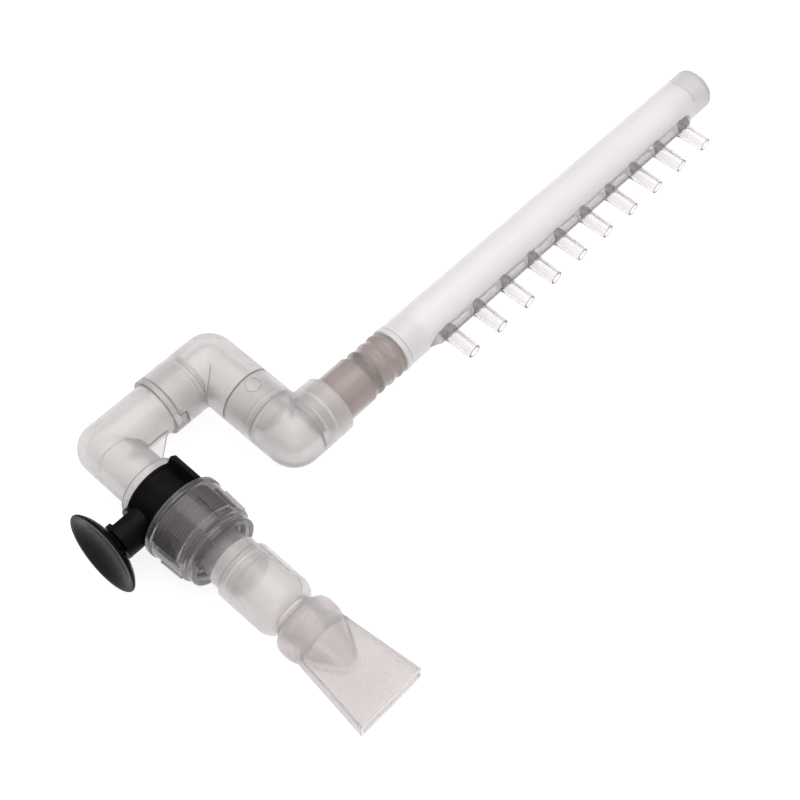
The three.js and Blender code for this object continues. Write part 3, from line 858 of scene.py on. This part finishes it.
CONNECTOR_FACE = 53.3
BAR_R = 9.7
BAR_BORE_R = 8.2
BAR_SPIGOT_R = 7.9
CONNECTOR_START = 8.9
BAR_SPIGOT_END = 67.0
BAR_START = CONNECTOR_FACE + GAP
BAR_END = 250.3
BAR_LIP_R = 9.9
BAR_LIP_END = 55.9
BAR_SEAL = 63.5
CAP_START = 241.3
CAP_END = 252.0
CAP_SEAL = 244.0
CONNECTOR_SEAL = 13.0
CONNECTOR_SHOULDER = 35.0
CONNECTOR_BORE_R = 6.2
RIB_START = 37.0
RIB_PITCH = 5.3
RIB_COUNT = 3


def bar_connector():
    ribs = []
    for i in range(RIB_COUNT):
        start = RIB_START + i * RIB_PITCH
        ribs += [(9.0, start + 0.5), (9.75, start + 1.6), (9.9, start + 2.6)]
        ribs += [(9.7, start + 3.6), (9.0, start + 4.6)]
    outline = [
        (CONNECTOR_BORE_R, CONNECTOR_START),
        (SPIGOT_R, CONNECTOR_START),
        (SPIGOT_R, CONNECTOR_SEAL - 1),
        (8.8, CONNECTOR_SEAL - 1),
        (8.8, CONNECTOR_SEAL + 1),
        (SPIGOT_R, CONNECTOR_SEAL + 1),
        (SPIGOT_R, CONNECTOR_SHOULDER),
        (9.6, CONNECTOR_SHOULDER + 0.6),
        (9.2, RIB_START),
        *ribs,
        (9.0, CONNECTOR_FACE),
        (BAR_SPIGOT_R, CONNECTOR_FACE),
        (BAR_SPIGOT_R, BAR_SEAL - 0.8),
        (7.05, BAR_SEAL - 0.8),
        (7.05, BAR_SEAL + 0.8),
        (BAR_SPIGOT_R, BAR_SEAL + 0.8),
        (BAR_SPIGOT_R, BAR_SPIGOT_END),
        (CONNECTOR_BORE_R, BAR_SPIGOT_END),
    ]
    return turned("bar_connector_tube", BAR, outline, 0.4)


RAIL_R = 3.5
RAIL_TOP = 11.9
RAIL_START = 64.0
RAIL_FULL = 71.0
RAIL_END = 237.0
NOZZLE_COUNT = 10
NOZZLE_FIRST = 76.5
NOZZLE_PITCH = 16.9
NOZZLE_TIP = 24.2
NOZZLE_BORE_R = 2.1
# The painted shade over each nozzle's root, and where the rail's grey stops
ROOT_REACH = 4.0
ROOT_LOW = 1.2
ROOT_RISE = 0.9
ROOT_WALL = 0.4
RAIL_TRIM = 0.25


def nozzle_at(i):
    return Branch(BAR_X, CROSS_Y + NOZZLE_FIRST + i * NOZZLE_PITCH, X, Y)


def spray_bar_tube():
    outline = [
        (BAR_BORE_R, BAR_START),
        (BAR_LIP_R, BAR_START),
        (BAR_LIP_R, BAR_LIP_END),
        (BAR_R, BAR_LIP_END),
        (BAR_R, CAP_START - 0.3),
        (BAR_R, BAR_END),
        (BAR_BORE_R, BAR_END),
    ]
    tube = turned("spray_bar_tube", BAR, outline, 0.2)
    for i in range(NOZZLE_COUNT):
        drill = [(NOZZLE_BORE_R, 4), (NOZZLE_BORE_R, BAR_R + 2)]
        cut(tube, rod("drill", nozzle_at(i), drill, 0.05, 32))
    return tube


def spray_bar_nozzles():
    axis = Branch(BAR_X + RAIL_TOP - RAIL_R, CROSS_Y, Y, X)
    rounded = [(0.6, RAIL_END - 0.1), (1.9, RAIL_END - 0.6), (3.0, RAIL_END - 1.9)]
    shape = [(0.4, RAIL_START), (RAIL_R, RAIL_FULL + 0.5), (RAIL_R, RAIL_END - 3.4), *rounded[::-1]]
    rail = rod("spray_bar_nozzles", axis, shape, 0.2, 48)
    for i in range(NOZZLE_COUNT):
        place = nozzle_at(i)
        outside = [(3.9, 7.5), (3.75, 10.9), (3.35, 12.4), (3.0, NOZZLE_TIP)]
        join(rail, rod("nozzle", place, outside, 0.25, 48))
    core = rod("core", BAR, [(BAR_R + 0.02, RAIL_START - 5), (BAR_R + 0.02, RAIL_END + 5)], 0.01)
    cut(rail, core)
    for i in range(NOZZLE_COUNT):
        bore = [(NOZZLE_BORE_R, 4), (NOZZLE_BORE_R + 0.15, NOZZLE_TIP + 2)]
        cut(rail, rod("bore", nozzle_at(i), bore, 0.05, 32))
    return rail


def end_cap():
    outline = [
        (5.4, CAP_START),
        (BAR_SPIGOT_R, CAP_START),
        (BAR_SPIGOT_R, CAP_SEAL - 0.8),
        (7.05, CAP_SEAL - 0.8),
        (7.05, CAP_SEAL + 0.8),
        (BAR_SPIGOT_R, CAP_SEAL + 0.8),
        (BAR_SPIGOT_R, BAR_END + GAP),
        (BAR_R, BAR_END + GAP),
        (BAR_R, CAP_END),
    ]
    points = [(0, BAR_END - 1), (5.4, BAR_END - 1), *outline, (0, CAP_END)]
    points = soften(points, 0.5)
    columns = [
        [BAR.point(r, t, 360 * i / AROUND) for r, t, *_ in points] for i in range(AROUND)
    ]
    return grid("end_cap_plug", columns, loop=False)


# ---- Seals -------------------------------------------------------------------------------


def seal(name, branch, inner, outer, station):
    section = (outer - inner) / 2
    outline = []
    for i in range(12):
        angle = 2 * math.pi * i / 12
        outline.append(
            (inner + section + section * math.cos(angle), station + section * math.sin(angle))
        )
    columns = [[branch.point(r, t, 360 * i / 72) for r, t in outline] for i in range(72)]
    return grid(name, columns, sharp=60)


# ---- Materials ---------------------------------------------------------------------------


class Nodes:
    def __init__(self, name):
        self.material = bpy.data.materials.new(name)
        self.material.use_nodes = True
        self.tree = self.material.node_tree
        self.shader = self.tree.nodes["Principled BSDF"]
        self.place = self.add("ShaderNodeTexCoord")

    def add(self, kind, **inputs):
        node = self.tree.nodes.new(kind)
        for key, value in inputs.items():
            node.inputs[key.replace("_", " ")].default_value = value
        return node

    def link(self, source, target):
        self.tree.links.new(source, target)

    def noise(self, scale, detail=4.0, roughness=0.5):
        node = self.add("ShaderNodeTexNoise", Scale=scale, Detail=detail, Roughness=roughness)
        self.link(self.place.outputs["Object"], node.inputs["Vector"])
        return node.outputs["Fac"]

    def spread(self, source, low, high):
        node = self.add("ShaderNodeMapRange")
        node.inputs["From Min"].default_value = 0.3
        node.inputs["From Max"].default_value = 0.7
        node.inputs["To Min"].default_value = low
        node.inputs["To Max"].default_value = high
        self.link(source, node.inputs["Value"])
        return node.outputs["Result"]

    def blend(self, share, first, second):
        node = self.tree.nodes.new("ShaderNodeMix")
        node.data_type = "RGBA"
        node.inputs[6].default_value = (*first, 1)
        node.inputs[7].default_value = (*second, 1)
        self.link(share, node.inputs[0])
        return node.outputs[2]

    def bump(self, height, distance, strength):
        node = self.add("ShaderNodeBump", Strength=strength, Distance=distance)
        self.link(height, node.inputs["Height"])
        self.link(node.outputs["Normal"], self.shader.inputs["Normal"])

    def set(self, **inputs):
        for key, value in inputs.items():
            self.shader.inputs[key.replace("_", " ")].default_value = value


def plastic(name, light, dark, clear, smooth, rough, grain=0.04, tint=None, density=0.0):
    """Moulded plastic: a cloudy colour, patchy gloss and a very fine grain. A tint darkens the
    edges, where the light crosses more of the wall."""
    n = Nodes(name)
    cloud = n.noise(45.0, 2.0)
    n.link(n.blend(n.spread(cloud, 0.0, 1.0), dark, light), n.shader.inputs["Base Color"])
    patches = n.noise(160.0, 4.0, 0.6)
    n.link(n.spread(patches, smooth, rough), n.shader.inputs["Roughness"])
    n.bump(n.noise(900.0, 2.0), 0.00002, grain)
    n.set(IOR=1.45, Transmission_Weight=clear)
    if tint:
        wall = n.add("ShaderNodeVolumeAbsorption", Color=(*tint, 1), Density=density)
        output = n.tree.nodes["Material Output"]
        n.link(wall.outputs["Volume"], output.inputs["Volume"])
    return n.material


def rubber(name, light, dark, smooth, rough, grain=0.3, gloss=0.5):
    """Moulded rubber or opaque plastic, with dust that dulls it in patches."""
    n = Nodes(name)
    dust = n.noise(180.0, 6.0, 0.65)
    n.link(n.blend(n.spread(dust, 0.0, 1.0), dark, light), n.shader.inputs["Base Color"])
    n.link(n.spread(n.noise(420.0, 4.0), smooth, rough), n.shader.inputs["Roughness"])
    n.bump(n.noise(2600.0, 2.0), 0.00002, grain)
    n.set(IOR=1.5, Specular_IOR_Level=gloss)
    return n.material


MATERIALS = {
    "frosted_plastic": plastic(
        "frosted plastic",
        (0.93, 0.90, 0.898),
        (0.90, 0.868, 0.866),
        clear=0.74, smooth=0.225, rough=0.262, tint=(0.50, 0.44, 0.445), density=28.0,
    ),
    "dull_plastic": plastic(
        "dull frosted plastic",
        (0.80, 0.76, 0.755),
        (0.75, 0.71, 0.705),
        clear=0.82, smooth=0.2, rough=0.262, tint=(0.45, 0.40, 0.40), density=30.0,
    ),
    "bill_plastic": plastic(
        "duckbill plastic",
        (0.86, 0.82, 0.817),
        (0.82, 0.78, 0.777),
        clear=0.72, smooth=0.22, rough=0.262, tint=(0.45, 0.39, 0.40), density=36.0,
    ),
    "grey_plastic": plastic(
        "frosted grey plastic",
        (0.84, 0.79, 0.775),
        (0.79, 0.735, 0.715),
        clear=0.74, smooth=0.21, rough=0.262, tint=(0.48, 0.40, 0.375), density=34.0,
    ),
    "white_plastic": plastic(
        "frosted white plastic",
        (0.97, 0.945, 0.953),
        (0.95, 0.925, 0.933),
        clear=0.5, smooth=0.3, rough=0.4,
    ),
    "end_plastic": plastic(
        "frosted bar end",
        (0.92, 0.885, 0.885),
        (0.88, 0.845, 0.845),
        clear=0.6, smooth=0.3, rough=0.4,
    ),
    "clear_plastic": plastic(
        "clear plastic",
        (0.98, 0.955, 0.965),
        (0.95, 0.925, 0.94),
        clear=0.95, smooth=0.04, rough=0.07, grain=0.0, tint=(0.55, 0.50, 0.53), density=45.0,
    ),
    "rail_plastic": plastic(
        "rail plastic",
        (0.72, 0.69, 0.72),
        (0.65, 0.625, 0.655),
        clear=0.65, smooth=0.1, rough=0.18, grain=0.02,
    ),
    # Painted shade over the upper side of each nozzle's root
    "root_shade": plastic(
        "painted shade at nozzle roots",
        (0.30, 0.275, 0.29),
        (0.24, 0.22, 0.235),
        clear=0.5, smooth=0.12, rough=0.2, grain=0.02,
    ),
    "smoke_plastic": plastic(
        "smoke plastic",
        (0.47, 0.45, 0.465),
        (0.40, 0.385, 0.40),
        clear=0.93, smooth=0.08, rough=0.16, grain=0.03, tint=(0.50, 0.46, 0.47), density=44.0,
    ),
    "black_plastic": rubber(
        "black plastic",
        (0.004, 0.004, 0.004),
        (0.002, 0.002, 0.002),
        smooth=0.25, rough=0.4, grain=0.3, gloss=0.06,
    ),
    "cup_rubber": rubber(
        "cup rubber",
        (0.004, 0.004, 0.0045),
        (0.0025, 0.0025, 0.003),
        smooth=0.2, rough=0.32, grain=0.1, gloss=0.04,
    ),
    "seal_rubber": rubber(
        "seal rubber",
        (0.93, 0.92, 0.91),
        (0.72, 0.71, 0.70),
        smooth=0.2, rough=0.4,
    ),
    # Mould marks, and painted shade lines where edges, rims and creases are seen through the
    # plastic
    "mark": plastic(
        "mould mark and painted shade line",
        (0.62, 0.58, 0.59),
        (0.56, 0.52, 0.53),
        clear=0.7, smooth=0.29, rough=0.36,
    ),
    "seam": rubber(
        "shaded seam",
        (0.16, 0.15, 0.155),
        (0.10, 0.095, 0.10),
        smooth=0.4, rough=0.6,
    ),
    "shade": rubber(
        "shaded end",
        (0.30, 0.28, 0.285),
        (0.22, 0.205, 0.21),
        smooth=0.4, rough=0.6,
    ),
    # Painted highlight for a lit rim
    "rim": rubber(
        "painted rim highlight",
        (0.80, 0.785, 0.79),
        (0.75, 0.735, 0.74),
        smooth=0.3, rough=0.45,
    ),
    "brown": rubber(
        "brown bore",
        (0.34, 0.22, 0.16),
        (0.28, 0.18, 0.13),
        smooth=0.4, rough=0.6,
    ),
}


# ---- Pieces ------------------------------------------------------------------------------


def fit(piece, body, slot, *nodes, material=None):
    """Gives the piece its material, body and finish, and lets it stand for the CAD nodes."""
    piece.data.materials.clear()
    piece.data.materials.append(MATERIALS[material or slot])
    weigh_normals(piece)
    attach(piece, body)
    if nodes:
        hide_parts(*nodes)


GATE_R = 3.1
GATE_POINTS = 40
LINE_STEP = 5  # degrees between the points of an arc


def gate_mark(name, branch, radius, station, body):
    """The ring that a moulding gate leaves on top of a pipe."""
    path = []
    for i in range(GATE_POINTS):
        angle = 2 * math.pi * i / GATE_POINTS
        across = GATE_R * math.cos(angle)
        degrees = 90 - math.degrees(math.asin(across / radius))
        path.append((radius, station + GATE_R * math.sin(angle), degrees))
    ring = line_on(name, branch, path, 0.3, 0.05, closed=True)
    fit(ring, body, "frosted_plastic", material="mark")


def edge_line(name, branch, path, width, body, slot, material, rise=0.05, closed=False):
    """A line that shades an edge, a rim or a part seen through the plastic."""
    fit(line_on(name, branch, path, width, rise, closed), body, slot, material=material)


def arc(radius, station, low, high):
    """A path round a pipe between two angles."""
    count = max(2, round((high - low) / LINE_STEP))
    return [(radius, station, low + (high - low) * i / count) for i in range(count + 1)]


# Painted shade lines at the bends, as (radius, station, degrees)
CORNER_LINE = [
    (PIPE_R, 9.0, 160),
    (PIPE_R, 7.4, 140),
    (PIPE_R, 6.8, 125),
    (PIPE_R, 6.7, 110),
    (PIPE_R, 7.1, 96),
    (PIPE_R, 7.2, 77),
    (PIPE_R, 7.6, 60),
    (PIPE_R, 9.0, 45),
    (PIPE_R, 10.9, 34),
]
MITRE_LINE = [
    (SOCKET_R, 12.2, 174),
    (SOCKET_R, 11.9, 162),
    (SOCKET_R, 11.5, 151),
    (SOCKET_R, 10.2, 134),
    (SOCKET_R, 8.2, 119),
    (SOCKET_R, 7.1, 112),
]


def parting_line():
    """The line where the adaptor's mould halves met; it runs over the shoulder to the neck."""
    path = [(ADAPTOR_R, 74.8 + 1.2 * i, 47) for i in range(17)]
    over = [
        (12.2, 95.2, 48),
        (11.95, 96.2, 50),
        (11.5, 97.3, 53),
        (10.6, 98.4, 57),
        (9.7, 99.25, 61),
    ]
    fit(
        line_on("adaptor_parting_line", OUTLET, path + over, 0.3, 0.06),
        "adaptor",
        "frosted_plastic",
        material="mark",
    )


fit(suction_cup(), "cup", "cup_rubber", "suction_cup")
bracket = pipe_bracket()
soften_edges(bracket, 0.3, 3, 40)
fit(bracket, "bracket", "black_plastic", "pipe_bracket")
first_elbow = flanged_elbow()
fit(first_elbow, "riser", "frosted_plastic", "flanged_elbow")
paint(first_elbow, "seam", RISER, SEAM - 0.4, SEAM + STOP_LENGTH + 0.4)
# Painted shade on the flange's face, where its edge is seen through the plastic
paint(first_elbow, "mark", OUTLET, FLANGE_START - 0.2, FLANGE_START + 0.2)
paint(first_elbow, "shade", RISER, SWIVEL_SPIGOT_END - 3.6, SWIVEL_SPIGOT_END + 0.2)
fit(union_nut(), "nut", "smoke_plastic", "union_nut")
fit(union_washer(), "tail", "seal_rubber", "union_washer")
tail = tailpiece()
fit(tail, "tail", "frosted_plastic", "tailpiece", material="dull_plastic")
paint(tail, "seam", OUTLET, TAIL_END - 0.2, TAIL_END + 0.2)
fit(adaptor_body(), "adaptor", "frosted_plastic", "adaptor_body")
parting_line()
bill = duckbill()
fit(bill, "duckbill", "frosted_plastic", "duckbill_nozzle", material="bill_plastic")
# Painted highlight round the duckbill's mouth rim
paint(bill, "rim", OUTLET, MOUTH - 0.12, MOUTH + 0.1)
for turn in range(THREAD_TURNS):
    crest = THREAD_START + 1 + (turn + 0.5) * THREAD_PITCH
    paint(first_elbow, "shade", OUTLET, crest, crest + THREAD_PITCH / 2, radial=True)
second_elbow = swivel_elbow()
fit(second_elbow, "middle_elbow", "frosted_plastic", "swivel_elbow")
paint(second_elbow, "seam", CROSS, CROSS_SEAM - 0.3, CROSS_SEAM + 0.3)
paint(second_elbow, "shade", CROSS, CROSS_SPIGOT_END - 0.3, CROSS_SPIGOT_END + 0.3)
fit(bar_elbow(), "last_elbow", "frosted_plastic", "bar_elbow")
gate_mark("cross_gate_mark", CROSS, SOCKET_R, 25.6, "last_elbow")
gate_mark("tailpiece_gate_mark", OUTLET, TAIL_R, 64.3, "tail")
frosted = "frosted_plastic"
# Painted shade line where the outlet meets the riser
edge_line("outlet_corner_shade_line", OUTLET, CORNER_LINE, 0.3, "riser", frosted, "mark")
gusset_root = [(PIPE_R, 11.2 + 2 * i, 0) for i in range(6)]
edge_line("gusset_root_line", RISER, gusset_root, 1.5, "riser", frosted, "shade", rise=0.15)
gusset_edge = [(PIPE_R + 0.1 + 1.67 * i, 21.1 - 2.06 * i, 0) for i in range(6)]
edge_line("gusset_edge_line", RISER, gusset_edge, 1.35, "riser", frosted, "shade", rise=0.08)
edge_line("swivel_mitre_line", CROSS, MITRE_LINE, 0.4, "middle_elbow", frosted, "seam")
flange_rim = arc(FLANGE_R - 0.1, FLANGE_START + 0.25, -180, 175)
edge_line("flange_rim_line", OUTLET, flange_rim, 0.3, "riser", frosted, "seam", closed=True)
spigot_shade = arc(11.4, CROSS_SPIGOT_END + 0.3, 40, 176)
edge_line("spigot_end_shade", CROSS, spigot_shade, 0.8, "last_elbow", frosted, "seam", rise=0.1)
socket_shade = arc(11.0, 4.9, -5, 112)
edge_line("socket_floor_shade", BAR, socket_shade, 1.3, "last_elbow", frosted, "seam", rise=0.1)
connector = bar_connector()
fit(connector, "connector", "grey_plastic", "bar_connector")
paint(connector, "seam", BAR, CONNECTOR_START - 0.3, CONNECTOR_START + 0.3)
paint(connector, "dull_plastic", BAR, CONNECTOR_SHOULDER + 0.1, 40.0, radial=True)
bore = CONNECTOR_BORE_R + 0.3
paint(connector, "brown", BAR, CONNECTOR_START, CONNECTOR_FACE, radial=True, within=bore)
bar = spray_bar_tube()
fit(bar, "bar", "white_plastic", "spray_bar")
paint(bar, "shade", BAR, BAR_LIP_END - 0.25, BAR_LIP_END + 0.2)
paint(bar, "end_plastic", BAR, CAP_START - 0.3, BAR_END, radial=True)
white = "white_plastic"
# Painted shade lines at the plug's end, the bar's rim and the bar's lip
plug_line = arc(BAR_R, CAP_START - 0.5, 35, 118)
edge_line("plug_shade", BAR, plug_line, 0.45, "bar", white, "mark", rise=0.03)
bar_rim = arc(BAR_R - 0.05, BAR_END - 0.1, -180, 175)
edge_line("bar_rim_shade_line", BAR, bar_rim, 0.35, "bar", white, "mark", rise=0.03, closed=True)
lip_line = arc(BAR_R + 0.02, BAR_LIP_END + 0.1, -180, 175)
edge_line("bar_lip_line", BAR, lip_line, 0.4, "bar", white, "shade", rise=0.05, closed=True)
nozzles = spray_bar_nozzles()
fit(nozzles, "bar", "white_plastic", material="clear_plastic")
paint_rail(nozzles)
fit(end_cap(), "cap", "white_plastic", "end_cap", material="end_plastic")
# Painted shade line at the cap's rim
cap_rim = arc(BAR_R - 0.2, CAP_END - 0.3, -180, 175)
edge_line("cap_rim_shade_line", BAR, cap_rim, 0.35, "cap", white, "mark", rise=0.03, closed=True)

# Each seal's node, body, branch, inner and outer radius and station
GROOVE_MIDDLE = GROOVE_INSET + GROOVE_WIDTH / 2
SEALS = [
    ("swivel_o_ring", "riser", RISER, 8.85, 10.35, SWIVEL_SPIGOT_END - GROOVE_MIDDLE),
    ("cross_o_ring", "middle_elbow", CROSS, 8.85, 10.35, CROSS_SPIGOT_END - GROOVE_MIDDLE),
    ("connector_o_ring", "connector", BAR, 8.95, 10.35, CONNECTOR_SEAL),
    ("bar_o_ring", "connector", BAR, 7.15, 8.1, BAR_SEAL),
    ("end_cap_o_ring", "cap", BAR, 7.15, 8.1, CAP_SEAL),
    ("tailpiece_o_ring", "tail", OUTLET, 8.6, 9.75, TAIL_SEAL),
    ("neck_o_ring", "adaptor", OUTLET, 8.0, 8.9, NECK_SEAL),
]
for node, body, branch, inner, outer, station in SEALS:
    fit(seal(f"{node}_ring", branch, inner, outer, station), body, "seal_rubber", node)


# ---- Stage -------------------------------------------------------------------------------


def floor():
    """A pale sheet that glows a little, as a light table does, so that nothing throws a shadow."""
    half = 2.0
    low = cad_box[0][2] - 0.0015
    mesh = bpy.data.meshes.new("floor")
    corners = [(-half, -half, low), (half, -half, low), (half, half, low), (-half, half, low)]
    mesh.from_pydata(corners, [], [(0, 1, 2, 3)])
    plane = bpy.data.objects.new("floor", mesh)
    bpy.context.scene.collection.objects.link(plane)
    n = Nodes("floor paper")
    paper = n.blend(n.spread(n.noise(9.0, 3.0), 0.0, 1.0), (0.30, 0.30, 0.30), (0.32, 0.32, 0.32))
    n.link(paper, n.shader.inputs["Base Color"])
    n.set(Roughness=0.9, Emission_Color=(1, 1, 1, 1), Emission_Strength=0.82)
    plane.data.materials.append(n.material)


def studio():
    """Soft light from all round, dimmer towards the horizon."""
    world = bpy.data.worlds.new("studio")
    world.use_nodes = True
    tree = world.node_tree
    place = tree.nodes.new("ShaderNodeTexCoord")
    split = tree.nodes.new("ShaderNodeSeparateXYZ")
    ramp = tree.nodes.new("ShaderNodeMapRange")
    for name, value in (("From Min", 0.0), ("From Max", 0.7), ("To Min", 0.32), ("To Max", 0.9)):
        ramp.inputs[name].default_value = value
    ramp.interpolation_type = "SMOOTHSTEP"
    background = tree.nodes["Background"]
    background.inputs["Color"].default_value = (1, 0.99, 0.99, 1)
    tree.links.new(place.outputs["Generated"], split.inputs[0])
    tree.links.new(split.outputs["Z"], ramp.inputs["Value"])
    tree.links.new(ramp.outputs["Result"], background.inputs["Strength"])
    bpy.context.scene.world = world


def area_light(name, place, target, size, power):
    data = bpy.data.lights.new(name, "AREA")
    data.shape = "DISK"
    data.size = size
    data.energy = power
    lamp = bpy.data.objects.new(name, data)
    lamp.location = place
    aim = Vector(target) - Vector(place)
    lamp.rotation_euler = aim.to_track_quat("-Z", "Y").to_euler()
    bpy.context.scene.collection.objects.link(lamp)


CAMERA_ANGLES = (41.347, 56.805, 1.886)  # azimuth, elevation and roll
CAMERA_PLACE = Vector((245.04, -118.34, 492.18))
CAMERA_LENS = 68.47


def camera():
    """The camera of the photograph: direction, roll, distance and lens."""
    azimuth, elevation, roll = (math.radians(a) for a in CAMERA_ANGLES)
    level = math.cos(elevation)
    ahead = Vector((-math.sin(azimuth) * level, math.cos(azimuth) * level, -math.sin(elevation)))
    right = Vector((math.cos(azimuth), math.sin(azimuth), 0))
    up = right.cross(ahead)
    turned_right = right * math.cos(roll) + up * math.sin(roll)
    turned_up = up * math.cos(roll) - right * math.sin(roll)
    rotation = Matrix((turned_right, turned_up, -ahead)).transposed().to_4x4()
    data = bpy.data.cameras.new("camera")
    data.lens = CAMERA_LENS
    data.sensor_width = 36
    data.clip_start = 0.01
    data.clip_end = 20
    view = bpy.data.objects.new("camera", data)
    view.matrix_world = Matrix.Translation(CAMERA_PLACE * MM) @ rotation
    bpy.context.scene.collection.objects.link(view)
    bpy.context.scene.camera = view


floor()
camera()
studio()
centre = (0.03, 0.15, 0)
area_light("overhead", (0.0, 0.25, 1.3), centre, 1.4, 9)
area_light("front", (0.9, -0.7, 0.9), centre, 0.6, 2)

scene = bpy.context.scene
scene.view_settings.view_transform = "Standard"
scene.cycles.max_bounces = 24
scene.cycles.transmission_bounces = 24
scene.cycles.diffuse_bounces = 6
scene.cycles.glossy_bounces = 8
scene.cycles.transparent_max_bounces = 24
